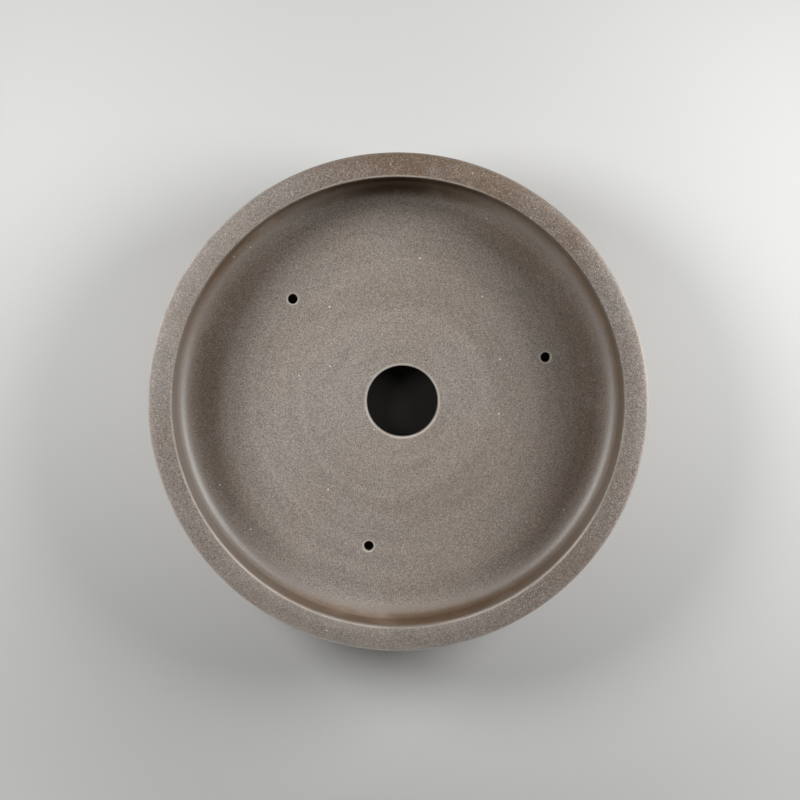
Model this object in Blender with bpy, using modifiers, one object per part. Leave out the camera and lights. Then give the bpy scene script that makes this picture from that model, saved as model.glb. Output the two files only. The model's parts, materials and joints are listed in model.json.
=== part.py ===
"""Round, shallow, unglazed stoneware flower pot with a flat lip, a drain hole and tie-wire holes.

The potter forms the floor slab, the wall, the lip and the feet one by one, lutes them together
with slip, presses a coil into the inside corner and fires the lot. Metres, +Z up, with the
origin on the ground under the middle of the pot.
"""

import math

import bmesh
import bpy
from mathutils import Matrix

# Overall sizes, over the lip and down to the soles.
RIM_DIAMETER = 0.350
POT_HEIGHT = 0.084

# Lip ring, laid on the wall and wider than it on both sides, with a gently crowned top.
LIP_WIDTH = 0.017
LIP_HEIGHT = 0.012
LIP_OUTER_OVERHANG = 0.005
LIP_CROWN = 0.029  # radius of the crowned top
LIP_CREST = 0.0085  # from the inner edge out to the highest line
LIP_INNER_ARRIS = 0.0010
LIP_OUTER_ROUND = 0.0040
LIP_UNDER_ROUND = 0.0020

# Wall, almost upright, leaning in a little towards the floor with a slight belly.
WALL_THICKNESS = 0.009
WALL_LEAN = 0.0010
WALL_BELLY = 0.0005

# Floor slab and the coil that rounds the inside corner.
FLOOR_THICKNESS = 0.011
BASE_ROUND = 0.0085
COVE_WIDTH = 0.0148
COVE_HEIGHT = 0.0078
COIL_EDGE = 0.0006  # thickness left where the coil fades out

# Holes through the floor, marked out by hand a little off its middle.
HOLES_OFF_X = 0.0030
HOLES_OFF_Y = -0.0009
DRAIN_DIAMETER = 0.052
DRAIN_EASE = 0.0010
WIRE_HOLES = 3
WIRE_HOLE_DIAMETER = 0.007
WIRE_HOLE_EASE = 0.0006
WIRE_HOLE_INSET = 0.0360  # from the foot of the cove in to the circle of the holes
WIRE_FIRST_ANGLE = math.radians(17.0)

# Bracket feet, each a short arc whose ends sweep up to the floor in an ogee.
FEET = 3
FOOT_HEIGHT = 0.013
FOOT_WIDTH = 0.024
FOOT_SPAN = math.radians(44.0)
FOOT_SOLE_SHARE = 0.52  # flat part of the span
FOOT_SETBACK = 0.003  # in from the edge of the flat underside
FOOT_BATTER = 0.0025
FOOT_ARRIS = 0.0015
FOOT_TIP = 0.0018  # height left at the ends of the ogee

# Slip seam between luted pieces.
SEAM = 0.0003

# Facets round a full turn, round a wire hole, along a foot and along the arcs of the outlines.
TURN_STEPS = 96
HOLE_STEPS = 20
FOOT_STEPS = 24
WALL_STEPS = 6
COVE_STEPS = 7
COIL_BACK_STEPS = 3
BOLD_STEPS = 5
CROWN_STEPS = 6
ARRIS_STEPS = 3
SHARP_ANGLE = math.radians(35.0)

# Fired clay: colour and roughness of each kind of piece.
CLAYS = {
    "lip_clay": ((0.240, 0.205, 0.180), 0.55),
    "wall_clay": ((0.230, 0.192, 0.165), 0.60),
    "floor_clay": ((0.245, 0.210, 0.182), 0.58),
    "foot_clay": ((0.215, 0.178, 0.152), 0.68),
}

# Levels, from the ground up.
UNDERSIDE_Z = FOOT_HEIGHT
FLOOR_Z = UNDERSIDE_Z + FLOOR_THICKNESS
LIP_BASE_Z = POT_HEIGHT - LIP_HEIGHT
WALL_BASE_Z = FLOOR_Z + SEAM
WALL_TOP_Z = LIP_BASE_Z - SEAM

# Inner face of the wall: an arc through its top and base points, bulging by the belly.
RIM_RADIUS = RIM_DIAMETER / 2
WALL_TOP_RADIUS = RIM_RADIUS - LIP_OUTER_OVERHANG - WALL_THICKNESS
WALL_BASE_RADIUS = WALL_TOP_RADIUS - WALL_LEAN
WALL_CHORD = math.hypot(WALL_LEAN, LIP_BASE_Z - FLOOR_Z)
BELLY_RADIUS = WALL_CHORD**2 / (8 * WALL_BELLY) + WALL_BELLY / 2
BELLY_BACK = (BELLY_RADIUS - WALL_BELLY) / WALL_CHORD
BELLY_CENTRE_R = (WALL_TOP_RADIUS + WALL_BASE_RADIUS) / 2 - BELLY_BACK * (LIP_BASE_Z - FLOOR_Z)
BELLY_CENTRE_Z = (LIP_BASE_Z + FLOOR_Z) / 2 + BELLY_BACK * WALL_LEAN


def wall_radius(height, outward):
    """Radius of the wall at a height, on the face this far outward of its inner one."""
    face = BELLY_RADIUS + outward
    return BELLY_CENTRE_R + math.sqrt(face**2 - (height - BELLY_CENTRE_Z) ** 2)


def wall_face(low, high, outward, steps):
    """Points of a wall face from the low height up to the high one."""
    heights = [low + (high - low) * i / steps for i in range(steps + 1)]
    return [(wall_radius(height, outward), height) for height in heights]


def underside_radius():
    """Radius of the flat underside, inside the rounded edge of the floor slab."""
    return wall_radius(WALL_BASE_Z, WALL_THICKNESS) - BASE_ROUND


def cove_foot_radius():
    """Radius at which the cove leaves the floor: a quarter of an ellipse that ends on the wall."""
    return wall_radius(FLOOR_Z + COVE_HEIGHT, 0.0) - COVE_WIDTH


def arc(centre, radius, start, end, steps):
    """Points on an arc in the (radius, height) plane, with angles in degrees from outward to up."""
    points = []
    for i in range(steps + 1):
        angle = math.radians(start + (end - start) * i / steps)
        points.append((centre[0] + radius * math.cos(angle), centre[1] + radius * math.sin(angle)))
    return points


def new_collection(name):
    collection = bpy.data.collections.new(name)
    bpy.context.scene.collection.children.link(collection)
    return collection


def fired_clay(name):
    colour, roughness = CLAYS[name]
    material = bpy.data.materials.new(name)
    material.use_nodes = True
    material.diffuse_color = (*colour, 1.0)
    shader = material.node_tree.nodes["Principled BSDF"]
    shader.inputs["Base Color"].default_value = (*colour, 1.0)
    shader.inputs["Roughness"].default_value = roughness
    shader.inputs["Metallic"].default_value = 0.0
    return material


def smooth_round_faces(mesh):
    mesh.shade_smooth()
    mesh.set_sharp_from_angle(angle=SHARP_ANGLE)


def turned(name, outline, collection, closed=True, steps=TURN_STEPS):
    """Object made by turning an outline of (radius, height) points about the Z axis.

    The outline runs down the outer side first. One that isn't closed starts and ends on the axis.
    """
    count = len(outline)
    edges = [(i, (i + 1) % count) for i in range(count if closed else count - 1)]
    mesh = bpy.data.meshes.new(name)
    mesh.from_pydata([(radius, 0.0, height) for radius, height in outline], edges, [])
    piece = bpy.data.objects.new(name, mesh)
    collection.objects.link(piece)
    screw = piece.modifiers.new("Turn", "SCREW")
    screw.axis = "Z"
    screw.angle = math.tau
    screw.steps = steps
    screw.render_steps = steps
    screw.use_merge_vertices = True
    screw.merge_threshold = 1e-6
    bpy.context.view_layer.objects.active = piece
    bpy.ops.object.modifier_apply(modifier=screw.name)
    smooth_round_faces(piece.data)
    return piece


def cut(piece, cutter):
    boolean = piece.modifiers.new(cutter.name, "BOOLEAN")
    boolean.operation = "DIFFERENCE"
    boolean.solver = "EXACT"
    boolean.object = cutter


def floor_slab(pot, cutters):
    """Flat disc with a rounded lower edge, a drain hole and tie-wire holes."""
    outline = [(0.0, FLOOR_Z), (wall_radius(WALL_BASE_Z, WALL_THICKNESS), FLOOR_Z)]
    outline += arc((underside_radius(), UNDERSIDE_Z + BASE_ROUND), BASE_ROUND, 0, -90, BOLD_STEPS)
    outline += [(0.0, UNDERSIDE_Z)]
    slab = turned("floor_slab", outline, pot, closed=False)
    drain = hole_cutter("drain_cutter", DRAIN_DIAMETER / 2, DRAIN_EASE, TURN_STEPS, cutters)
    drain.location = (HOLES_OFF_X, HOLES_OFF_Y, 0.0)
    cut(slab, drain)
    circle = cove_foot_radius() - WIRE_HOLE_INSET
    for i in range(WIRE_HOLES):
        angle = WIRE_FIRST_ANGLE + i * math.tau / WIRE_HOLES
        name = f"wire_hole_cutter_{i + 1}"
        hole = hole_cutter(name, WIRE_HOLE_DIAMETER / 2, WIRE_HOLE_EASE, HOLE_STEPS, cutters)
        hole.location.x = HOLES_OFF_X + circle * math.cos(angle)
        hole.location.y = HOLES_OFF_Y + circle * math.sin(angle)
        cut(slab, hole)
    return slab


def hole_cutter(name, bore, ease, steps, cutters):
    """Spool that drills a hole through the floor and eases both of its edges."""
    reach = FLOOR_THICKNESS / 2
    flare = bore + 2 * ease
    above = FLOOR_Z + ease
    below = UNDERSIDE_Z - ease
    outline = [(0.0, above + reach), (flare, above + reach), (flare, above)]
    outline += [(bore, FLOOR_Z - ease), (bore, UNDERSIDE_Z + ease)]
    outline += [(flare, below), (flare, below - reach), (0.0, below - reach)]
    cutter = turned(name, outline, cutters, closed=False, steps=steps)
    cutter.hide_render = True
    cutter.display_type = "WIRE"
    return cutter


def wall_ring(pot):
    """Beaten strip joined into a ring, standing on the edge of the floor slab."""
    outer = wall_face(WALL_BASE_Z, WALL_TOP_Z, WALL_THICKNESS, WALL_STEPS)
    inner = wall_face(WALL_BASE_Z, WALL_TOP_Z, 0.0, WALL_STEPS)
    return turned("wall_ring", outer[::-1] + inner, pot)


def corner_coil(pot):
    """Roll of clay pressed into the inside corner and rubbed to a cove between wall and floor."""
    faded = SEAM + COIL_EDGE
    start = math.acos(1 - faded / COVE_HEIGHT)
    end = math.asin(1 - faded / COVE_WIDTH)
    foot = cove_foot_radius()
    cove = []
    for i in range(COVE_STEPS + 1):
        angle = start + (end - start) * i / COVE_STEPS
        radius = foot + COVE_WIDTH * math.sin(angle)
        cove.append((radius, FLOOR_Z + COVE_HEIGHT * (1 - math.cos(angle))))
    seat_z = FLOOR_Z + SEAM
    back = wall_face(seat_z, cove[-1][1], -SEAM, COIL_BACK_STEPS)
    return turned("corner_coil", back[::-1] + [(cove[0][0], seat_z)] + cove, pot)


def crown_edge(reach, rounding):
    """Tilt of the crowned top, in degrees, where a rounded edge takes over, and that edge's height."""
    tilt = math.asin((reach - rounding) / (LIP_CROWN - rounding))
    drop = LIP_CROWN - (LIP_CROWN - rounding) * math.cos(tilt)
    return math.degrees(tilt), POT_HEIGHT - drop


def rim_lip(pot):
    """Band luted on top of the wall: crowned, rounded boldly outside and kept crisp inside."""
    inner = RIM_RADIUS - LIP_WIDTH
    under = LIP_UNDER_ROUND
    bold = LIP_OUTER_ROUND
    crisp = LIP_INNER_ARRIS
    fall_out, bold_z = crown_edge(LIP_WIDTH - LIP_CREST, bold)
    fall_in, crisp_z = crown_edge(LIP_CREST, crisp)
    crown = (inner + LIP_CREST, POT_HEIGHT - LIP_CROWN)
    outline = arc(crown, LIP_CROWN, 90 + fall_in, 90 - fall_out, CROWN_STEPS)
    outline += arc((RIM_RADIUS - bold, bold_z), bold, 90 - fall_out, 0, BOLD_STEPS)[1:]
    outline += arc((RIM_RADIUS - under, LIP_BASE_Z + under), under, 0, -90, ARRIS_STEPS)
    outline += arc((inner + under, LIP_BASE_Z + under), under, -90, -180, ARRIS_STEPS)
    outline += arc((inner + crisp, crisp_z), crisp, 180, 90 + fall_in, ARRIS_STEPS)[:-1]
    return turned("rim_lip", outline, pot)


def ogee_rise(share):
    """How far the underside has risen at this share of the half span, from 0 at the sole to 1."""
    along = max(0.0, (share - FOOT_SOLE_SHARE) / (1 - FOOT_SOLE_SHARE))
    return along * along * (3 - 2 * along)


def foot_mesh():
    """One foot on the +X side: its section swept round the pot, then its ends swept upwards."""
    outer = underside_radius() - FOOT_SETBACK
    inner = outer - FOOT_WIDTH
    top = UNDERSIDE_Z - SEAM
    section = [(outer, top), (outer - FOOT_BATTER, FOOT_ARRIS), (outer - FOOT_BATTER - FOOT_ARRIS, 0.0)]
    section += [(inner + FOOT_BATTER + FOOT_ARRIS, 0.0), (inner + FOOT_BATTER, FOOT_ARRIS), (inner, top)]
    shape = bmesh.new()
    face = shape.faces.new([shape.verts.new((radius, 0.0, height)) for radius, height in section])
    bmesh.ops.rotate(shape, verts=shape.verts, matrix=Matrix.Rotation(-FOOT_SPAN / 2, 3, "Z"))
    sweep = [face, *face.edges, *face.verts]
    bmesh.ops.spin(shape, geom=sweep, axis=(0, 0, 1), angle=FOOT_SPAN, steps=FOOT_STEPS)
    for vert in shape.verts:
        share = abs(math.atan2(vert.co.y, vert.co.x)) / (FOOT_SPAN / 2)
        kept = 1 - ogee_rise(share) * (1 - FOOT_TIP / top)
        vert.co.z = top - (top - vert.co.z) * kept
    bmesh.ops.recalc_face_normals(shape, faces=shape.faces)
    mesh = bpy.data.meshes.new("foot")
    shape.to_mesh(mesh)
    shape.free()
    smooth_round_faces(mesh)
    return mesh


def feet(pot):
    """Equal feet, each under the middle of the gap between two wire holes."""
    mesh = foot_mesh()
    first = WIRE_FIRST_ANGLE + math.pi / WIRE_HOLES
    pieces = []
    for i in range(FEET):
        foot = bpy.data.objects.new(f"foot_{i + 1}", mesh)
        foot.rotation_euler.z = first + i * math.tau / FEET
        pot.objects.link(foot)
        pieces.append(foot)
    return pieces


def build():
    for thing in list(bpy.data.objects):
        bpy.data.objects.remove(thing)
    pot = new_collection("flower_pot")
    cutters = new_collection("cutters")
    centre = bpy.data.objects.new("pot_centre", None)
    pot.objects.link(centre)
    made = {
        "lip_clay": [rim_lip(pot)],
        "wall_clay": [wall_ring(pot)],
        "floor_clay": [floor_slab(pot, cutters), corner_coil(pot)],
        "foot_clay": feet(pot),
    }
    for clay, pieces in made.items():
        material = fired_clay(clay)
        for piece in pieces:
            piece.parent = centre
            piece.data.materials.clear()
            piece.data.materials.append(material)


build()
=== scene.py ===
import json
import math
import bmesh
import bpy
from mathutils import Matrix, Vector


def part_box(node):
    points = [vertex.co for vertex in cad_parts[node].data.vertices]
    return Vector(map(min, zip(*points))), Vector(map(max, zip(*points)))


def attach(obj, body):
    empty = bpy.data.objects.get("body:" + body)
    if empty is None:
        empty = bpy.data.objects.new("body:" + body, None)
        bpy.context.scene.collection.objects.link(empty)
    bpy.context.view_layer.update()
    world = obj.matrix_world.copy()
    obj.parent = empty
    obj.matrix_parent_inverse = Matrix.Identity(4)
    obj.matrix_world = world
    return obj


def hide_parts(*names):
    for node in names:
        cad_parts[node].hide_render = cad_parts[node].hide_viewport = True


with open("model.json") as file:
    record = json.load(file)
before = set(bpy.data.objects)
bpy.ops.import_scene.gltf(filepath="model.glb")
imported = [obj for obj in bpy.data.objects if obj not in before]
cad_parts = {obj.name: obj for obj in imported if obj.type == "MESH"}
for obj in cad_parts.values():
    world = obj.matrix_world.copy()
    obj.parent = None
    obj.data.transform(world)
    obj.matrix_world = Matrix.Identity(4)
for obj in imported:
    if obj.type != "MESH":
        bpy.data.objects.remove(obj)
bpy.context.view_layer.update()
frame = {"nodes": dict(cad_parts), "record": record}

# Floor slab: a disc of sandy stoneware, rolled out flat, with a wide drain hole cut by a ring and three
# tie-wire holes pushed through with a tube. The turntable leaves faint rings on its upper face, shade is
# painted in brown along its corner, and its lower edge is rounded over below the wall that stands on it.

slab_low, slab_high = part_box("floor_slab")
wall_low, wall_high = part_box("wall_ring")
lip_low, lip_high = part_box("rim_lip")
UNDERSIDE_Z = slab_low.z
FLOOR_Z = slab_high.z
POT_HEIGHT = lip_high.z
BASE_ROUND = 0.0085
BASE_STEPS = 12
COVE_WIDTH = 0.0148
COVE_HEIGHT = 0.0078
COIL_LEAD = 0.0008  # how far the coil is rubbed out past its cove, on the floor and up the wall
REBATE = 0.0008  # hidden step under the coil and the wall
DRAIN_RADIUS = 0.026
DRAIN_ROUND = 0.0013
DRAIN_CLEARING = 0.034  # the turned rings start here, about the pot's axis
WIRE_HOLE_RADIUS = 0.0036
WIRE_HOLE_ROUND = 0.0007
WIRE_HOLE_CLEARING = 0.0075
WIRE_HOLE_STEPS = 40
COLLAR = 0.0008  # flat ring of clay round an eased edge
EASE_STEPS = 6
EASE_HIGHLIGHT = (0.75, 0.95)  # where the painted highlight on a hole's edge sets in and is full, from mid slab to face
TURN_STEPS = 256
MERGE_DISTANCE = 1e-6
SAME_LEVEL = 1e-5
SHARP_ANGLE = math.radians(35)


def turned_corners(node):
    """Corner points of a turned CAD piece, as (radius, height) pairs."""
    return [(vert.co.xy.length, vert.co.z) for vert in frame["nodes"][node].data.vertices]


def wall_radii(height):
    """Inner and outer radius of the CAD wall, at the corners nearest this height."""
    corners = turned_corners("wall_ring")
    miss = min(abs(z - height) for _, z in corners)
    level = [radius for radius, z in corners if abs(z - height) < miss + SAME_LEVEL]
    return min(level), max(level)


def circle_through(first, second, third):
    """Centre and radius of the circle through three (radius, height) points."""
    chord, reach = Vector(second) - Vector(first), Vector(third) - Vector(first)
    turn = 2 * (chord.x * reach.y - chord.y * reach.x)
    across = (reach.y * chord.length_squared - chord.y * reach.length_squared) / turn
    up = (chord.x * reach.length_squared - reach.x * chord.length_squared) / turn
    return Vector(first) + Vector((across, up)), math.hypot(across, up)


def arc(centre, radius, start, end, steps):
    """Points on an arc in the (radius, height) plane, with angles in degrees from outward to up."""
    points = []
    for i in range(steps + 1):
        angle = math.radians(start + (end - start) * i / steps)
        points.append((centre[0] + radius * math.cos(angle), centre[1] + radius * math.sin(angle)))
    return points


wall_levels = (wall_low.z, (wall_low.z + wall_high.z) / 2, wall_high.z)
BEND_CENTRE, INNER_BEND = circle_through(*[(wall_radii(z)[0], z) for z in wall_levels])
OUTER_BEND = (Vector((wall_radii(wall_high.z)[1], wall_high.z)) - BEND_CENTRE).length


def wall_radius(height, bend):
    """Radius of a wall face at a height: an upright arc about the bend's centre."""
    return BEND_CENTRE.x + math.sqrt(bend**2 - (height - BEND_CENTRE.y) ** 2)


base_height = UNDERSIDE_Z + BASE_ROUND
BASE_CENTRE = (wall_radius(base_height, OUTER_BEND - BASE_ROUND), base_height)
BASE_END = math.degrees(math.atan2(base_height - BEND_CENTRE.y, BASE_CENTRE[0] - BEND_CENTRE.x))
COVE_FOOT = wall_radius(FLOOR_Z + COVE_HEIGHT, INNER_BEND) - COVE_WIDTH
FLOOR_REACH = COVE_FOOT - COIL_LEAD


def turned(outline, closed=True, steps=TURN_STEPS):
    """Outline of (radius, height) points, turned once about the pot's axis."""
    shape = bmesh.new()
    verts = [shape.verts.new((radius, 0.0, height)) for radius, height in outline]
    edges = [shape.edges.new(pair) for pair in zip(verts, verts[1:])]
    if closed:
        edges.append(shape.edges.new((verts[-1], verts[0])))
    bmesh.ops.spin(shape, geom=verts + edges, axis=(0, 0, 1), angle=math.tau, steps=steps, use_merge=True)
    bmesh.ops.remove_doubles(shape, verts=shape.verts, dist=MERGE_DISTANCE)
    bmesh.ops.recalc_face_normals(shape, faces=shape.faces)
    return shape


def open_edges(shape, spot, reach, level):
    """Edges round a clearing in a level face."""
    found = []
    for edge in shape.edges:
        middle = (edge.verts[0].co + edge.verts[1].co) / 2
        if edge.is_boundary and (middle.xy - spot).length < reach and abs(middle.z - level) < REBATE:
            found.append(edge)
    return found


def lined(shape, spot, bore, ease, clearing, steps):
    """Lines the clearing round a spot, through the slab, with a sleeve whose two edges are eased."""
    sleeve = [(bore + ease + COLLAR, FLOOR_Z)]
    sleeve += arc((bore + ease, FLOOR_Z - ease), ease, 90, 180, EASE_STEPS)
    sleeve += arc((bore + ease, UNDERSIDE_Z + ease), ease, 180, 270, EASE_STEPS)
    sleeve += [(bore + ease + COLLAR, UNDERSIDE_Z)]
    upper = open_edges(shape, spot, 2 * clearing, FLOOR_Z)
    lower = open_edges(shape, spot, 2 * clearing, UNDERSIDE_Z)
    place = Matrix.Translation((spot.x, spot.y, FLOOR_Z))
    back = Matrix.Translation((-spot.x, -spot.y, 0))
    made = bmesh.ops.create_circle(shape, segments=steps, radius=sleeve[0][0], matrix=place)
    ring = list({edge for vert in made["verts"] for edge in vert.link_edges})
    bmesh.ops.triangle_fill(shape, use_beauty=True, edges=upper + ring, normal=(0, 0, 1))
    for (wide, high), (narrow, low) in zip(sleeve, sleeve[1:]):
        made = bmesh.ops.extrude_edge_only(shape, edges=ring)["geom"]
        ring = [part for part in made if isinstance(part, bmesh.types.BMEdge)]
        verts = [part for part in made if isinstance(part, bmesh.types.BMVert)]
        bmesh.ops.scale(shape, vec=(narrow / wide, narrow / wide, 1), space=back, verts=verts)
        bmesh.ops.translate(shape, vec=(0, 0, low - high), verts=verts)
    bmesh.ops.triangle_fill(shape, use_beauty=True, edges=lower + ring, normal=(0, 0, 1))
    bmesh.ops.recalc_face_normals(shape, faces=shape.faces)


def fade(value, low, high):
    """0 below low, 1 above high, and a smooth rise between them."""
    along = min(1.0, max(0.0, (value - low) / (high - low)))
    return along * along * (3 - 2 * along)


WHEEL_RINGS = ((0.000035, 0.0117, 0.6), (0.000022, 0.0046, 2.1), (0.000012, 0.0021, 0.0))  # waves
RING_STEP = 0.0012
RING_FADE = 0.012  # in which the rings die out towards the drain and the cove


def wheel_rings(radius):
    """Height of the faint turntable rings on the floor, as waves of a depth, a pitch and a lead."""
    drain_gap = fade(radius, DRAIN_CLEARING, DRAIN_CLEARING + RING_FADE)
    cove_gap = 1 - fade(radius, FLOOR_REACH - RING_FADE, FLOOR_REACH)
    wave = sum(depth * math.sin(math.tau * radius / pitch + lead) for depth, pitch, lead in WHEEL_RINGS)
    return wave * drain_gap * cove_gap


floor_width = FLOOR_REACH - DRAIN_CLEARING
ring_count = round(floor_width / RING_STEP)
ring_radii = [DRAIN_CLEARING + floor_width * i / ring_count for i in range(ring_count + 1)]
slab_edge = wall_radius(FLOOR_Z, OUTER_BEND)
slab_outline = [(radius, FLOOR_Z + wheel_rings(radius)) for radius in ring_radii]
slab_outline += [(FLOOR_REACH + REBATE, FLOOR_Z - REBATE), (slab_edge - REBATE, FLOOR_Z - REBATE)]
slab_outline += [(slab_edge, FLOOR_Z)]
slab_outline += arc(BASE_CENTRE, BASE_ROUND, BASE_END, -90, BASE_STEPS)
slab_outline += [(radius, UNDERSIDE_Z) for radius in reversed(ring_radii)]
slab = turned(slab_outline, closed=False)

hole_spots = {}
for opening in frame["record"]["physics"]["openings"]:
    low, high = opening["box_m"]
    hole_spots[opening["name"]] = Vector(((low[0] + high[0]) / 2, (low[1] + high[1]) / 2))
drain_spot = hole_spots["drain_hole"]
lined(slab, drain_spot, DRAIN_RADIUS, DRAIN_ROUND, DRAIN_CLEARING, TURN_STEPS)
wire_spots = [spot for name, spot in hole_spots.items() if name.startswith("wire_hole")]
for spot in wire_spots:
    near = [f for f in slab.faces if (f.calc_center_median().xy - spot).length < WIRE_HOLE_CLEARING]
    bmesh.ops.delete(slab, geom=near, context="FACES")
    lined(slab, spot, WIRE_HOLE_RADIUS, WIRE_HOLE_ROUND, WIRE_HOLE_CLEARING, WIRE_HOLE_STEPS)

eased_edges = [(drain_spot, DRAIN_RADIUS + DRAIN_ROUND)]
eased_edges += [(spot, WIRE_HOLE_RADIUS + WIRE_HOLE_ROUND) for spot in wire_spots]


def hole_edge_highlight(vert):
    """1 on the eased edge of a hole, which is painted pale as a highlight and made a little smoother."""
    level = abs(vert.co.z - (FLOOR_Z + UNDERSIDE_Z) / 2) / ((FLOOR_Z - UNDERSIDE_Z) / 2)
    near = any((vert.co.xy - spot).length < radius + COLLAR / 2 for spot, radius in eased_edges)
    return fade(level, *EASE_HIGHLIGHT) if near else 0.0


def patchy(vert, patches):
    """Largest share of the patches that reach a vertex: (middle, span, share) round the pot, in degrees."""
    angle = math.degrees(math.atan2(vert.co.y, vert.co.x))
    shares = []
    for middle, span, share in patches:
        aside = abs((angle - middle + 180) % 360 - 180)
        shares.append(share * fade(1 - aside / span, 0.0, 1.0))
    return max(shares)


# painted shade along the corner of the floor and the foot of the cove, most at the sides
CORNER_PAINTED_SHADE = ((0, 110, 0.62), (48, 56, 0.6), (168, 100, 0.6))
CORNER_SHADE_START, CORNER_SHADE_FULL = 0.112, 0.138
BROWN_RING = ((90, 70, 0.4), (30, 60, 0.3), (-65, 90, 0.4))  # a broad faint ring half way out
BROWN_RING_RADIUS, BROWN_RING_HALF_WIDTH = 0.079, 0.024


def floor_shade_and_ring(vert):
    """Painted shade along the floor's corner, most at the sides, and a faint brown ring round its middle,
    on its upper face.
    """
    radius = vert.co.xy.length
    corner = patchy(vert, CORNER_PAINTED_SHADE) * fade(radius, CORNER_SHADE_START, CORNER_SHADE_FULL)
    aside = abs(radius - BROWN_RING_RADIUS)
    ring = patchy(vert, BROWN_RING) * fade(1 - aside / BROWN_RING_HALF_WIDTH, 0.0, 1.0)
    return max(corner, ring) if vert.co.z > FLOOR_Z - REBATE / 2 else 0.0


def nowhere(vert):
    """A share of 0 on every vertex."""
    return 0.0


def marked(shape, burnish=nowhere, wear_and_highlight=nowhere, brown_and_shade=nowhere):
    """Writes on each vertex, from 0 to 1: rubbing, pale wear and painted highlight, brown and painted
    shade.
    """
    for name, share in (("burnish", burnish), ("wear_and_highlight", wear_and_highlight), ("brown_and_shade", brown_and_shade)):
        layer = shape.verts.layers.float.new(name)
        for vert in shape.verts:
            vert[layer] = share(vert)


OVAL = 0.0015  # share by which the plan is longer along X and shorter along Y
THREE_LOBES = 0.0004
LOBE_TURN = 1.1
RIM_WARP = 0.0022  # share of the height by which the rim rises and falls
WARP_TURN = 0.8


def worked_by_hand(shape):
    """Slight unevenness of hand work: the plan a little oval, the rim not quite level."""
    for vert in shape.verts:
        angle = math.atan2(vert.co.y, vert.co.x)
        swell = 1 + OVAL * math.cos(2 * angle) + THREE_LOBES * math.cos(3 * angle + LOBE_TURN)
        vert.co.x *= swell
        vert.co.y *= swell
        vert.co.z += RIM_WARP * math.cos(2 * angle + WARP_TURN) * vert.co.z**3 / POT_HEIGHT**2


marked(slab, wear_and_highlight=hole_edge_highlight, brown_and_shade=floor_shade_and_ring)
worked_by_hand(slab)


def fed(tree, node, inputs):
    """Sets sockets of a node, each to a value or a link."""
    for name, value in inputs.items():
        if isinstance(value, bpy.types.NodeSocket):
            tree.links.new(value, node.inputs[name])
        else:
            node.inputs[name].default_value = value
    return node


def wired(tree, kind, inputs, **settings):
    """Adds a shader node: settings are its properties, inputs its sockets as values or links."""
    node = tree.nodes.new("ShaderNode" + kind)
    for name, value in settings.items():
        setattr(node, name, value)
    return fed(tree, node, inputs)


def figured(tree, operation, *values):
    """Math node on one, two or three values."""
    return wired(tree, "Math", dict(enumerate(values)), operation=operation).outputs[0]


def blended(tree, share, first, second):
    """Colour mix from first to second by a share. A Mix node has its colours on sockets 6, 7 and 2."""
    return wired(tree, "Mix", {0: share, 6: first, 7: second}, data_type="RGBA").outputs[2]


def ranged(tree, value, low, high, to_low=0.0, to_high=1.0):
    """Smooth step of a value from one range to another."""
    limits = {"Value": value, "From Min": low, "From Max": high, "To Min": to_low, "To Max": to_high}
    return wired(tree, "MapRange", limits, interpolation_type="SMOOTHSTEP").outputs[0]


def shifted(tree, place, shift):
    """The same place, moved, so that two patterns don't fall on each other."""
    return wired(tree, "VectorMath", {0: place, 1: shift}, operation="ADD").outputs[0]


def noise(tree, place, scale, detail, roughness):
    """Cloudy pattern of values about 0.5."""
    pattern = {"Vector": place, "Scale": scale, "Detail": detail, "Roughness": roughness}
    return wired(tree, "TexNoise", pattern).outputs[0]


def centred(tree, pattern):
    """The same pattern about 0."""
    return figured(tree, "SUBTRACT", pattern, 0.5)


def scattered(tree, place, scale):
    """Grains strewn at random: distance from the nearest one, and the lot, from 0 to 1, that it drew."""
    cells = wired(tree, "TexVoronoi", {"Vector": place, "Scale": scale}).outputs
    return cells["Distance"], wired(tree, "SeparateColor", {0: cells["Color"]}).outputs[0]


FINE_GRAIN = (1700.0, 2.0, 0.6)  # scale per metre, detail and roughness of each noise
CLOUDS = (11.0, 4.0, 0.55)
HAZE = (34.0, 3.0, 0.6)
HAZE_SHIFT = (0.7, 0.2, 0.4)
STREAKS = (110.0, 3.0, 0.55)
STREAK_DRIFT = (0.11, 0.07)  # how fast the streaks change along X and Y
SAND_SCALE = 1500.0
SAND_BODY = (0.42, 0.2)  # distance from a grain's middle at which it ends, and at which it is full
PALE_LOTS = (0.8, 0.86)  # lot from which some grains are pale, and from which all are
DARK_LOTS = (0.2, 0.14)  # and below which they are dark
RARE_SCALE = 88.0
RARE_SHIFT = (0.31, 0.17, 0.05)
SPECK_BODY, SPECK_LOTS = (0.065, 0.04), (0.66, 0.68)
PIT_BODY, PIT_LOTS = (0.06, 0.035), (0.1, 0.09)
PALE_SAND = ((0.47, 0.43, 0.38, 1), 0.55, 0.25)  # colour, cover and height of each kind of mark
DARK_SAND = ((0.09, 0.072, 0.06, 1), 0.6, -0.3)
SPECK = ((0.72, 0.68, 0.6, 1), 1.0, 0.4)
PIT = ((0.03, 0.024, 0.02, 1), 1.0, -1.2)
FINE_SWING = 2.0  # how far each of these patterns lightens and darkens the clay
LOT_SWING = 0.6
HAZE_SWING = 0.12
STREAK_SWING = 0.36
WARM_CLOUDS = (0.3, 0.7)
# the brown that the fire mark mixes in, the fire's own and painted shade
FIRE_BROWN_AND_SHADE, BROWN_HAZE = (0.106, 0.06, 0.029, 1), (0.25, 0.55)
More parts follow.
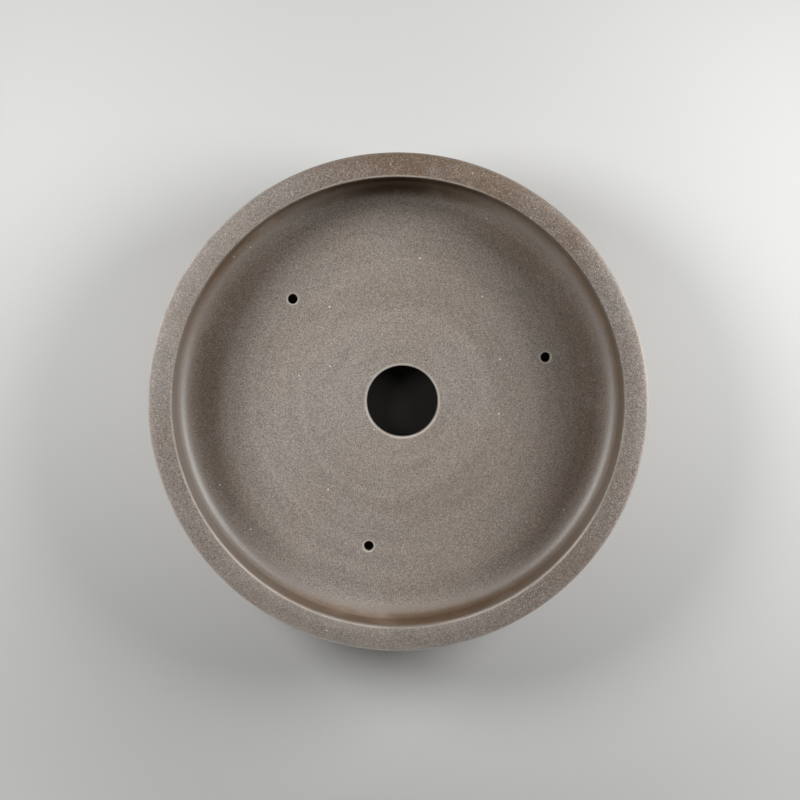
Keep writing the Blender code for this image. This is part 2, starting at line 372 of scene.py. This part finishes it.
# pale of the edge mark: wear on the soles, painted highlights on the lip's edges and the holes' edges
PALE_WEAR_AND_HIGHLIGHT, WEAR_AND_HIGHLIGHT_HAZE, WEAR_AND_HIGHLIGHT_COVER = (0.46, 0.41, 0.36, 1), (0.35, 0.6), (0.55, 0.95)
RUBBED_SAND = 0.32  # share of the sand that still shows where the clay is rubbed smooth
DRY_ROUGH, RUBBED_ROUGH = 0.56, 0.42
FINE_ROUGH, WORN_ROUGH = 0.25, -0.1  # what the fine grain and the wear add to them
GRAIN_RELIEF = 0.00026


def stoneware_group():
    """Sandy stoneware: grains of sand, pale specks, dark pits, turntable streaks and clouds of the fire.

    Burnish rubs the sand flat and closes the surface. The edge mark adds pale wear and painted highlight,
    the fire mark adds the fire's brown and painted shade."""
    group = bpy.data.node_groups.new("sandy_stoneware", "ShaderNodeTree")
    for name in ("Clay", "Warm"):
        group.interface.new_socket(name, in_out="INPUT", socket_type="NodeSocketColor")
    for name in ("Warmth", "Grain", "Specks", "Burnish", "Wear_and_highlight", "Brown_and_shade"):
        group.interface.new_socket(name, in_out="INPUT", socket_type="NodeSocketFloat")
    group.interface.new_socket("Color", in_out="OUTPUT", socket_type="NodeSocketColor")
    for name in ("Roughness", "Height"):
        group.interface.new_socket(name, in_out="OUTPUT", socket_type="NodeSocketFloat")
    given = group.nodes.new("NodeGroupInput").outputs
    place = group.nodes.new("ShaderNodeTexCoord").outputs["Object"]

    sand = figured(group, "MULTIPLY", given["Grain"],
                   ranged(group, given["Burnish"], 0.0, 1.0, 1.0, RUBBED_SAND))
    fine = noise(group, place, *FINE_GRAIN)
    uneven = figured(group, "MULTIPLY", centred(group, fine), sand)
    distance, lot = scattered(group, place, SAND_SCALE)
    each = figured(group, "MULTIPLY", centred(group, lot), sand)
    body = ranged(group, distance, *SAND_BODY)
    pale = figured(group, "MULTIPLY", body, ranged(group, lot, *PALE_LOTS))
    dark = figured(group, "MULTIPLY", body, ranged(group, lot, *DARK_LOTS))

    distance, lot = scattered(group, shifted(group, place, RARE_SHIFT), RARE_SCALE)
    body = ranged(group, distance, *SPECK_BODY)
    speck = figured(group, "MULTIPLY", body, ranged(group, lot, *SPECK_LOTS))
    body = ranged(group, distance, *PIT_BODY)
    pit = figured(group, "MULTIPLY", body, ranged(group, lot, *PIT_LOTS))

    clouds = noise(group, place, *CLOUDS)
    haze = noise(group, shifted(group, place, HAZE_SHIFT), *HAZE)
    x, y, z = wired(group, "SeparateXYZ", {0: place}).outputs
    radius = figured(group, "SQRT", figured(group, "MULTIPLY_ADD", x, x, figured(group, "MULTIPLY", y, y)))
    drift = figured(group, "MULTIPLY_ADD", y, STREAK_DRIFT[1],
                    figured(group, "MULTIPLY", x, STREAK_DRIFT[0]))
    track = wired(group, "CombineXYZ", {0: radius, 1: z, 2: drift}).outputs[0]
    streaks = noise(group, track, *STREAKS)

    warmth = figured(group, "MULTIPLY", given["Warmth"], ranged(group, clouds, *WARM_CLOUDS))
    warmth = figured(group, "MAXIMUM", warmth, given["Brown_and_shade"])
    tone = blended(group, warmth, given["Clay"], given["Warm"])
    # the fire mark: the fire's brown and painted shade
    browned_and_shaded = figured(group, "MULTIPLY", figured(group, "MULTIPLY", given["Brown_and_shade"], given["Brown_and_shade"]),
                      ranged(group, haze, *BROWN_HAZE))
    tone = blended(group, browned_and_shaded, tone, FIRE_BROWN_AND_SHADE)
    light = 1.0
    for swing, value in (
        (FINE_SWING, uneven),
        (LOT_SWING, each),
        (HAZE_SWING, centred(group, haze)),
        (STREAK_SWING, centred(group, streaks)),
    ):
        light = figured(group, "MULTIPLY_ADD", value, swing, light)
    tone = wired(group, "VectorMath", {0: tone, "Scale": light}, operation="SCALE").outputs[0]

    relief = uneven
    for mark, amount, (colour, cover, height) in (
        (pale, sand, PALE_SAND),
        (dark, sand, DARK_SAND),
        (speck, given["Specks"], SPECK),
        (pit, given["Specks"], PIT),
    ):
        shown = figured(group, "MULTIPLY", mark, figured(group, "MULTIPLY", amount, cover))
        tone = blended(group, shown, tone, colour)
        raised = figured(group, "MULTIPLY", amount, height)
        relief = figured(group, "MULTIPLY_ADD", mark, raised, relief)
    # the edge mark: pale wear and painted highlights
    pale_wear_and_highlight = figured(group, "MULTIPLY", given["Wear_and_highlight"], ranged(group, haze, *WEAR_AND_HIGHLIGHT_HAZE, *WEAR_AND_HIGHLIGHT_COVER))
    tone = blended(group, pale_wear_and_highlight, tone, PALE_WEAR_AND_HIGHLIGHT)

    rough = ranged(group, given["Burnish"], 0.0, 1.0, DRY_ROUGH, RUBBED_ROUGH)
    rough = figured(group, "MULTIPLY_ADD", uneven, FINE_ROUGH, rough)
    rough = figured(group, "MULTIPLY_ADD", given["Wear_and_highlight"], WORN_ROUGH, rough)
    ends = group.nodes.new("NodeGroupOutput")
    fed(group, ends, {"Color": tone, "Roughness": rough, "Height": relief})
    return group


STONEWARE = stoneware_group()


def fired_clay(name, clay, warm, warmth, grain, specks, gloss=0.5):
    """Material of one member: sandy stoneware with the member's own colours and amount of sand."""
    material = bpy.data.materials.new(name)
    material.use_nodes = True
    tree = material.node_tree
    look = {"Clay": (*clay, 1), "Warm": (*warm, 1), "Warmth": warmth, "Grain": grain, "Specks": specks}
    for mark in ("Burnish", "Wear_and_highlight", "Brown_and_shade"):
        look[mark] = wired(tree, "Attribute", {}, attribute_name=mark.lower()).outputs["Fac"]
    surface = wired(tree, "Group", look, node_tree=STONEWARE).outputs
    bump = wired(tree, "Bump", {"Strength": 1.0, "Distance": GRAIN_RELIEF, "Height": surface["Height"]})
    fed(tree, tree.nodes["Principled BSDF"], {
        "Base Color": surface["Color"],
        "Roughness": surface["Roughness"],
        "Specular IOR Level": gloss,
        "Normal": bump.outputs[0],
    })
    return material


def placed(name, shape, material, slot, *nodes):
    """Finished piece of the pot, which stands for the CAD nodes named."""
    mesh = bpy.data.meshes.new(name)
    shape.to_mesh(mesh)
    shape.free()
    mesh.shade_smooth()
    mesh.set_sharp_from_angle(angle=SHARP_ANGLE)
    mesh.materials.append(material)
    piece = bpy.data.objects.new(name, mesh)
    bpy.context.scene.collection.objects.link(piece)
    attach(piece, "root")
    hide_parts(*nodes)


floor_clay = fired_clay(
    "floor_clay",
    clay=(0.242, 0.211, 0.186),
    warm=(0.22, 0.166, 0.125),
    warmth=0.45,
    grain=1.0,
    specks=1.0,
)
placed("clay_floor", slab, floor_clay, "floor_clay", "floor_slab")

# Wall ring: a strip of the same clay, beaten even, bent round and joined, standing on the slab's edge.
# It leans out a little with a slight belly. The inside is rubbed smooth with a wet leather and browned in
# patches, by the fire and as painted shade under the lip; the outside is scraped and keeps its sand.

WALL_STEPS = 24
LIP_BED = 0.0006  # how far the wall stands up into the lip that is luted on it
WALL_FOOT_Z = FLOOR_Z + COVE_HEIGHT + COIL_LEAD
WALL_MIDDLE_BEND = (INNER_BEND + OUTER_BEND) / 2
# brown of the fire on the inner face, partly painted shade: most at the back under the lip and at the front
WALL_FLASHES_AND_SHADE = ((90, 70, 1.0), (135, 50, 0.9), (20, 90, 0.7), (-85, 90, 0.9))


def wall_face(low, high, bend):
    """Points up a wall face."""
    heights = [low + (high - low) * i / WALL_STEPS for i in range(WALL_STEPS + 1)]
    return [(wall_radius(height, bend), height) for height in heights]


def inside(vert):
    """1 on the wall's inner face, 0 on its outer one."""
    return float(vert.co.xy.length < wall_radius(vert.co.z, WALL_MIDDLE_BEND))


def wall_brown_and_shade(vert):
    """Brown of the fire and painted shade, on the inner face alone."""
    return inside(vert) * patchy(vert, WALL_FLASHES_AND_SHADE)


wall_top = lip_low.z + LIP_BED
outer_face = wall_face(FLOOR_Z, wall_top, OUTER_BEND)
inner_face = wall_face(WALL_FOOT_Z, wall_top, INNER_BEND)
wall_heel = [(inner_face[0][0] + 2 * REBATE, FLOOR_Z + REBATE), (slab_edge - REBATE, FLOOR_Z + REBATE)]
wall = turned(outer_face + inner_face[::-1] + wall_heel)
marked(wall, burnish=inside, brown_and_shade=wall_brown_and_shade)
worked_by_hand(wall)
wall_clay = fired_clay(
    "wall_clay",
    clay=(0.23, 0.195, 0.167),
    warm=(0.216, 0.15, 0.103),
    warmth=0.45,
    grain=0.9,
    specks=0.8,
    gloss=0.15,
)
placed("clay_wall", wall, wall_clay, "wall_clay", "wall_ring")

# Corner coil: a roll of soft clay pressed into the corner of wall and floor and rubbed with a round
# tool to a cove. Its edges are smoothed out on both, so no seam shows.

COVE_STEPS = 28
COVE_RUBBED = 0.2  # share of the cove's height at which the rubbing is full
CORNER_SHADE_END = 0.4  # share of it at which the painted shade of the floor's corner ends
FLASH_START, FLASH_FULL = 0.05, 0.55  # shares of it at which the brown of the fire and the painted shade set in and are full
BACK_SHADE_REACH = 0.5  # share of the cove's width in which the painted shade at the back sets in
# brown towards the top of the cove, partly the fire's and partly painted shade; painted shade over the
# whole cove at the back
COIL_FLASHES_AND_SHADE = ((90, 60, 1.0), (135, 50, 0.85), (30, 90, 0.7), (-80, 85, 0.9))
BACK_PAINTED_SHADE = ((88, 48, 0.95),)
cove = []
for i in range(COVE_STEPS + 1):
    angle = math.pi / 2 * i / COVE_STEPS
    rise = COVE_HEIGHT * (1 - math.cos(angle))
    cove.append((COVE_FOOT + COVE_WIDTH * math.sin(angle), FLOOR_Z + rise))
coil_back = inner_face[0][0] + REBATE
coil_seat = FLOOR_Z - REBATE / 2
coil_outline = [(FLOOR_REACH, FLOOR_Z)] + cove + [inner_face[0], (coil_back, WALL_FOOT_Z - REBATE)]
coil_outline += [(coil_back, coil_seat), (FLOOR_REACH + 2 * REBATE, coil_seat)]
coil = turned(coil_outline)


def up_the_cove(vert, low, high):
    """Rise from 0 to 1 between two shares of the cove's height."""
    return fade(vert.co.z, FLOOR_Z + low * COVE_HEIGHT, FLOOR_Z + high * COVE_HEIGHT)


def coil_rubbed(vert):
    """Smooth on the cove, as open as the floor at its foot."""
    return up_the_cove(vert, 0.0, COVE_RUBBED)


def coil_brown_and_shade(vert):
    """Painted shade at the foot of the cove, the fire's brown with painted shade towards its top, and
    painted shade at the back.
    """
    corner_shade = (1 - up_the_cove(vert, 0.0, CORNER_SHADE_END)) * patchy(vert, CORNER_PAINTED_SHADE)
    top = up_the_cove(vert, FLASH_START, FLASH_FULL) * patchy(vert, COIL_FLASHES_AND_SHADE)
    out = fade(vert.co.xy.length, COVE_FOOT, COVE_FOOT + BACK_SHADE_REACH * COVE_WIDTH)
    return max(corner_shade, top, out * patchy(vert, BACK_PAINTED_SHADE))


marked(coil, burnish=coil_rubbed, brown_and_shade=coil_brown_and_shade)
worked_by_hand(coil)
coil_clay = fired_clay(
    "coil_clay",
    clay=(0.248, 0.216, 0.19),
    warm=(0.224, 0.169, 0.127),
    warmth=0.45,
    grain=1.0,
    specks=0.9,
    gloss=0.75,
)
placed("clay_coil", coil, coil_clay, "floor_clay", "corner_coil")

# Lip: a band of clay laid on the wall, wider than it on both sides, its top gently crowned. The outside
# is rounded over with a wet sponge and the inside edge is left crisp. The fire has browned it in patches.
# Its outer rounding carries a painted highlight, its inner edge pale wear with a painted highlight, and
# patches of its top carry painted light.

LIP_ARRIS = 0.0007
LIP_OUTER_ROUND = 0.0040
LIP_UNDER_ROUND = 0.0018
LIP_CROWN = 0.029  # radius of the crowned top
LIP_CREST = 0.0085  # from the inner edge out to the highest line
LIP_STEPS = 12
LIP_FLASHES = ((86, 44, 0.9), (66, 26, 0.82), (46, 30, 0.76), (-44, 34, 0.55), (-95, 60, 0.4))
LIP_PAINTED_LIGHT = ((152, 44, 0.18), (-108, 56, 0.24))  # painted light: where the top is painted paler
# the lip's inner edge: worn pale a little all round, with a painted highlight in these patches
INNER_WEAR_AND_HIGHLIGHT = ((90, 35, 0.7), (-125, 80, 1.0), (-50, 60, 0.9))
INNER_MARK_LEAST = 0.15
INNER_MARK_FULL, INNER_MARK_END = 0.0004, 0.001  # outwards from the lip's inner radius
INNER_MARK_DOWN, INNER_MARK_UP = 0.001, 0.0002  # below and above the centre of the inner rounding
# painted highlight on the lip's outer rounding: a little all round, most in these patches
OUTER_PAINTED_HIGHLIGHT = ((152, 50, 1.0), (8, 50, 0.6), (-150, 60, 0.4), (-105, 45, 0.6))
OUTER_HIGHLIGHT_LEAST = 0.25
OUTER_HIGHLIGHT_FULL, OUTER_HIGHLIGHT_END = 0.0004, 0.0022  # inwards from its outer radius
OUTER_HIGHLIGHT_START = 0.004  # above the lip's underside
OUTER_HIGHLIGHT_UP = 0.001  # above the centre of the outer rounding
lip_inner = min(turned_corners("rim_lip"))[0]
lip_outer = lip_high.x


def crown_edge(reach, rounding):
    """Tilt of the crowned top, in degrees, where a rounded edge takes over, and that edge's height."""
    tilt = math.asin((reach - rounding) / (LIP_CROWN - rounding))
    return math.degrees(tilt), POT_HEIGHT - LIP_CROWN + (LIP_CROWN - rounding) * math.cos(tilt)


fall_out, round_z = crown_edge(lip_outer - lip_inner - LIP_CREST, LIP_OUTER_ROUND)
fall_in, arris_z = crown_edge(LIP_CREST, LIP_ARRIS)
crown = (lip_inner + LIP_CREST, POT_HEIGHT - LIP_CROWN)
under_z = lip_low.z + LIP_UNDER_ROUND
lip_outline = arc((lip_outer - LIP_UNDER_ROUND, under_z), LIP_UNDER_ROUND, -90, 0, EASE_STEPS)
lip_outline += arc((lip_outer - LIP_OUTER_ROUND, round_z), LIP_OUTER_ROUND, 0, 90 - fall_out, LIP_STEPS)
lip_outline += arc(crown, LIP_CROWN, 90 - fall_out, 90 + fall_in, LIP_STEPS)[1:]
lip_outline += arc((lip_inner + LIP_ARRIS, arris_z), LIP_ARRIS, 90 + fall_in, 180, EASE_STEPS)[1:]
lip_outline += arc((lip_inner + LIP_UNDER_ROUND, under_z), LIP_UNDER_ROUND, 180, 270, EASE_STEPS)
lip = turned(lip_outline)


def lip_wear_and_highlights(vert):
    """Painted highlight on the outer rounding, pale wear and painted highlight on the inner edge, painted
    light on the top.
    """
    radius, height = vert.co.xy.length, vert.co.z
    inner = 1 - fade(radius, lip_inner + INNER_MARK_FULL, lip_inner + INNER_MARK_END)
    inner *= fade(height, arris_z - INNER_MARK_DOWN, arris_z + INNER_MARK_UP)
    inner *= INNER_MARK_LEAST + patchy(vert, INNER_WEAR_AND_HIGHLIGHT)
    outer = fade(radius, lip_outer - OUTER_HIGHLIGHT_END, lip_outer - OUTER_HIGHLIGHT_FULL)
    outer *= fade(height, lip_low.z + OUTER_HIGHLIGHT_START, round_z + OUTER_HIGHLIGHT_UP)
    outer *= OUTER_HIGHLIGHT_LEAST + (1 - OUTER_HIGHLIGHT_LEAST) * patchy(vert, OUTER_PAINTED_HIGHLIGHT)
    top = fade(height, round_z, arris_z) * patchy(vert, LIP_PAINTED_LIGHT)
    return max(inner, outer, top)


def lip_brown(vert):
    """Brown of the fire in patches round the lip."""
    return patchy(vert, LIP_FLASHES)


marked(lip, wear_and_highlight=lip_wear_and_highlights, brown_and_shade=lip_brown)
worked_by_hand(lip)
lip_clay = fired_clay(
    "lip_clay",
    clay=(0.186, 0.163, 0.146),
    warm=(0.168, 0.132, 0.106),
    warmth=0.8,
    grain=1.3,
    specks=0.8,
)
placed("clay_lip", lip, lip_clay, "lip_clay", "rim_lip")

# Feet: three short bracket feet, cut from a strip of the same section and luted under the slab. Their
# ends sweep up in an ogee, and the soles are ground flat and worn pale.

FOOT_STEPS = 64
FOOT_ROUND = 0.0012
FOOT_ROUND_STEPS = 4
FOOT_BATTER = 0.0025
FOOT_FLARE = 0.0012  # drawn out at the top where it is luted on
FOOT_FLARE_HEIGHT = 0.0024
FOOT_WAIST = 0.0004  # drawn in below the flare
FOOT_JOINT = 0.001  # edges this close to the foot's top, which the slab hides, stay sharp
FOOT_TIP = 0.0018
FOOT_SOLE_SHARE = 0.52  # share of the half span at which the ogee starts
SOLE_WEAR = 0.8
SOLE_WEAR_HEIGHT = 0.0016
foot_nodes = sorted(name for name in frame["nodes"] if name.startswith("foot_"))
foot_top = UNDERSIDE_Z + REBATE / 2
flare_z = foot_top - FOOT_FLARE_HEIGHT
foot_clay = fired_clay(
    "foot_clay",
    clay=(0.222, 0.186, 0.158),
    warm=(0.2, 0.155, 0.12),
    warmth=0.9,
    grain=1.1,
    specks=0.6,
)


def sole_worn(vert):
    """Pale wear of the sole and its edges."""
    return SOLE_WEAR * (1 - fade(vert.co.z, 0.0, SOLE_WEAR_HEIGHT))


for node in foot_nodes:
    corners = [vert.co.copy() for vert in frame["nodes"][node].data.vertices]
    middle = sum(corners, Vector()) / len(corners)
    heading = math.atan2(middle.y, middle.x)
    turn_back = Matrix.Rotation(-heading, 3, "Z")
    half_span = max(math.atan2(*(turn_back @ corner).yx) for corner in corners)
    outer = max(corner.xy.length for corner in corners)
    inner = min(corner.xy.length for corner in corners)
    section = [(outer + FOOT_FLARE, foot_top), (outer - FOOT_WAIST, flare_z), (outer - FOOT_BATTER, 0.0)]
    section += [(inner + FOOT_BATTER, 0.0), (inner + FOOT_WAIST, flare_z), (inner - FOOT_FLARE, foot_top)]
    foot = bmesh.new()
    face = foot.faces.new([foot.verts.new((radius, 0.0, height)) for radius, height in section])
    bmesh.ops.rotate(foot, verts=foot.verts, matrix=Matrix.Rotation(-half_span, 3, "Z"))
    sweep = [face, *face.edges, *face.verts]
    bmesh.ops.spin(foot, geom=sweep, axis=(0, 0, 1), angle=2 * half_span, steps=FOOT_STEPS)
    for vert in foot.verts:
        share = abs(math.atan2(vert.co.y, vert.co.x)) / half_span
        kept = 1 - fade(share, FOOT_SOLE_SHARE, 1.0) * (1 - FOOT_TIP / foot_top)
        vert.co.z = foot_top - (foot_top - vert.co.z) * kept
    bmesh.ops.recalc_face_normals(foot, faces=foot.faces)
    low = [edge for edge in foot.edges if edge.verts[0].co.z < foot_top - FOOT_JOINT]
    hard = [edge for edge in low if edge.calc_face_angle() > SHARP_ANGLE]
    bmesh.ops.bevel(
        foot,
        geom=hard,
        offset=FOOT_ROUND,
        affect="EDGES",
        segments=FOOT_ROUND_STEPS,
        profile=0.5,
        material=-1,
    )
    bmesh.ops.rotate(foot, verts=foot.verts, matrix=Matrix.Rotation(heading, 3, "Z"))
    marked(foot, wear_and_highlight=sole_worn)
    worked_by_hand(foot)
    placed("clay_" + node, foot, foot_clay, "foot_clay", node)

# Studio: a pale floor that sweeps up all round into a plain backdrop. Far from the pot it shows one
# even tone to the camera, and right under the pot a dark shade is painted on it, for the shadow of a low
# pot.

SWEEP_START = 0.2  # the disc inside this is filled in
SWEEP_FLOOR = 2.2
SWEEP_CURVE = 0.8
SWEEP_HEIGHT = 1.1
SWEEP_STEPS = 12
SWEEP_FIRST_ANGLE = -80
SWEEP_TURN_STEPS = 96
STUDIO_Z = -0.0002  # just clear of the soles
PALE = (0.55, 0.55, 0.54, 1)
FAR_PALE = (0.63, 0.63, 0.62, 1)
FAR_START, FAR_FULL = 0.3, 0.62  # from the pot's axis, where the even tone sets in and is full
# painted shade under the pot, standing in for its shadow
PAINTED_SHADE = (0.012, 0.011, 0.01, 1)
SHADE_RADIUS = 0.118
SHADE_FADE = 0.03
PAPER_ROUGH = 0.9
PAPER_GLOSS = 0.2
sweep_outline = [(SWEEP_START, STUDIO_Z), (SWEEP_FLOOR, STUDIO_Z)]
sweep_outline += arc((SWEEP_FLOOR, SWEEP_CURVE), SWEEP_CURVE, SWEEP_FIRST_ANGLE, 0, SWEEP_STEPS)
sweep_outline += [(SWEEP_FLOOR + SWEEP_CURVE, SWEEP_HEIGHT)]
studio = turned(sweep_outline, closed=False, steps=SWEEP_TURN_STEPS)
bmesh.ops.holes_fill(studio, edges=open_edges(studio, Vector((0, 0)), 2 * SWEEP_START, STUDIO_Z))
bmesh.ops.recalc_face_normals(studio, faces=studio.faces)
bmesh.ops.reverse_faces(studio, faces=studio.faces)
studio_mesh = bpy.data.meshes.new("studio_floor")
studio.to_mesh(studio_mesh)
studio.free()
studio_mesh.shade_smooth()
studio_floor = bpy.data.objects.new("studio_floor", studio_mesh)
bpy.context.scene.collection.objects.link(studio_floor)

paper = bpy.data.materials.new("studio_paper")
paper.use_nodes = True
tree = paper.node_tree
place = tree.nodes.new("ShaderNodeTexCoord").outputs["Object"]
distance = wired(tree, "VectorMath", {0: place}, operation="LENGTH").outputs["Value"]
pale_with_painted_shade = blended(tree, ranged(tree, distance, SHADE_RADIUS, SHADE_RADIUS + SHADE_FADE), PAINTED_SHADE, PALE)
matt = fed(tree, tree.nodes["Principled BSDF"], {
    "Base Color": pale_with_painted_shade,
    "Roughness": PAPER_ROUGH,
    "Specular IOR Level": PAPER_GLOSS,
})
rays = tree.nodes.new("ShaderNodeLightPath").outputs
seen = figured(tree, "MAXIMUM", rays["Is Camera Ray"], rays["Is Glossy Ray"])
seen = figured(tree, "MAXIMUM", seen, rays["Is Transmission Ray"])
far = figured(tree, "MULTIPLY", seen, ranged(tree, distance, FAR_START, FAR_FULL))
glow = wired(tree, "Emission", {"Color": FAR_PALE, "Strength": 1.0})
joined = wired(tree, "MixShader", {0: far, 1: matt.outputs[0], 2: glow.outputs[0]})
fed(tree, tree.nodes["Material Output"], {"Surface": joined.outputs[0]})
studio_mesh.materials.append(paper)

# Light: a wide soft lamp on each side of the pot, the left one higher, low strips at the front and the
# sides that light only the outside and the edge of the lip, and a dim even fill.

LAMP_AIM = Vector((0, 0, 0.06))
STRIP_DISTANCE = 1.6
STRIP_HEIGHT = 0.11
FILL_STRENGTH = 0.025


def soft_lamp(name, azimuth, elevation, distance, size, power, height=0.0):
    """Soft lamp that faces the pot, with angles in degrees from +X and from the floor.

    It is round, or a strip of the height given."""
    turn, rise = math.radians(azimuth), math.radians(elevation)
    away = Vector((math.cos(turn) * math.cos(rise), math.sin(turn) * math.cos(rise), math.sin(rise)))
    light = bpy.data.lights.new(name, "AREA")
    light.shape = "RECTANGLE" if height else "DISK"
    light.size = size
    light.size_y = height or size
    light.energy = power
    lamp = bpy.data.objects.new(name, light)
    lamp.location = LAMP_AIM + away * distance
    lamp.rotation_euler = away.to_track_quat("Z", "Y").to_euler()
    lamp.visible_camera = False
    bpy.context.scene.collection.objects.link(lamp)


soft_lamp("lamp_right", azimuth=19, elevation=33.5, distance=0.85, size=0.5, power=8.0)
soft_lamp("lamp_left", azimuth=158, elevation=43, distance=0.75, size=0.34, power=4.7)
for name, azimuth, width, power in (
    ("strip_front", 268, 1.2, 11.0),
    ("strip_left", 185, 0.8, 9.0),
    ("strip_right", 2, 0.8, 9.0),
):
    soft_lamp(
        name,
        azimuth,
        elevation=0,
        distance=STRIP_DISTANCE,
        size=width,
        power=power,
        height=STRIP_HEIGHT,
    )

world = bpy.data.worlds.new("studio_fill")
world.use_nodes = True
fill = {"Color": (1, 1, 1, 1), "Strength": FILL_STRENGTH}
fed(world.node_tree, world.node_tree.nodes["Background"], fill)
bpy.context.scene.world = world
bpy.context.scene.view_settings.view_transform = "Standard"

# Camera: looks down into the pot nearly along its axis, from a little towards the back.

CAMERA_HEIGHT = 1.2  # above the rim
CAMERA_OFFSET = (0.0, 0.05)
CAMERA_AIM = (0.0013, 0.0023)
SENSOR = 36.0
VIEW_WIDTH = 0.558  # across the picture, in the plane of the rim
camera_data = bpy.data.cameras.new("camera")
camera_data.sensor_width = SENSOR
camera_data.lens = SENSOR * CAMERA_HEIGHT / VIEW_WIDTH
camera = bpy.data.objects.new("camera", camera_data)
aim = Vector((*CAMERA_AIM, POT_HEIGHT))
stand = Vector((*CAMERA_OFFSET, POT_HEIGHT + CAMERA_HEIGHT))
ahead = (aim - stand).normalized()
right = ahead.cross(Vector((0, 1, 0))).normalized()
turn = Matrix((right, right.cross(ahead), -ahead)).transposed()
camera.matrix_world = Matrix.Translation(stand) @ turn.to_4x4()
bpy.context.scene.collection.objects.link(camera)
bpy.context.scene.camera = camera
